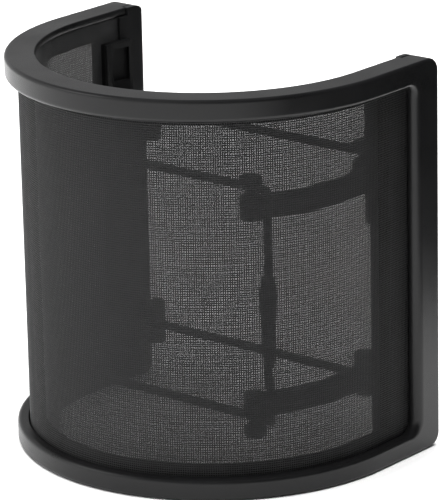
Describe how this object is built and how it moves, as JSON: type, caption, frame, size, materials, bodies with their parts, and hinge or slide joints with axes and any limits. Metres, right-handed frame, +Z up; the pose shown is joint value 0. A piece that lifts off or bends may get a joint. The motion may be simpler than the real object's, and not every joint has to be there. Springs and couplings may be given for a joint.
{
  "type": "microphone pop filter",
  "caption": "U-shaped microphone pop filter: a moulded frame with curved woven metal screens and an elastic-cord holder inside the U that grips the microphone.",
  "frame": {"origin": "centre of the base, on the surface the bottom rim stands on", "axes": "+Z up, the curved screens face -Y, the open side of the U faces +Y, +X is the right-hand side seen from the front"},
  "size_m": [0.1334, 0.0982, 0.13],
  "materials": {
    "black_plastic": "satin",
    "inner_plastic": "matt",
    "screen_metal": "satin black woven wire",
    "cord_fabric": "braided",
    "shrink_tube": "matt",
    "screw_metal": "black oxide"
  },
  "bodies": {
    "frame": {"outer_frame": "black_plastic", "left_post_cover": "black_plastic", "right_post_cover": "black_plastic", "inner_mesh": "screen_metal", "outer_mesh": "screen_metal", "top_spacer": "inner_plastic", "bottom_spacer": "inner_plastic", "left_spacer": "inner_plastic", "right_spacer": "inner_plastic", "left_carrier": "inner_plastic", "right_carrier": "inner_plastic", "left_upper_screw": "screw_metal", "left_lower_screw": "screw_metal", "right_upper_screw": "screw_metal", "right_lower_screw": "screw_metal", "front_elastic": "cord_fabric", "rear_elastic": "cord_fabric", "rear_sleeve": "shrink_tube"},
    "left_arms": {"left_upper_arm": "inner_plastic", "left_lower_arm": "inner_plastic"},
    "right_arms": {"right_upper_arm": "inner_plastic", "right_lower_arm": "inner_plastic", "front_sleeve": "shrink_tube"}
  },
  "joints": [
    {"name": "left_arm_flex", "type": "hinge", "parent": "frame", "child": "left_arms", "pos_m": [-0.0517, 0.0276, 0.0586], "axis": [0, 0, 1], "range_deg": [0, 6], "stiffness_Nm_per_rad": 4, "deforming": ["front_elastic"]},
    {"name": "right_arm_flex", "type": "hinge", "parent": "frame", "child": "right_arms", "pos_m": [0.0517, 0.0276, 0.0586], "axis": [0, 0, 1], "range_deg": [-6, 0], "stiffness_Nm_per_rad": 4, "deforming": ["front_elastic"]}
  ],
  "couplings": [
    {"joint": "right_arm_flex", "follows": "left_arm_flex", "ratio": -1}
  ]
}
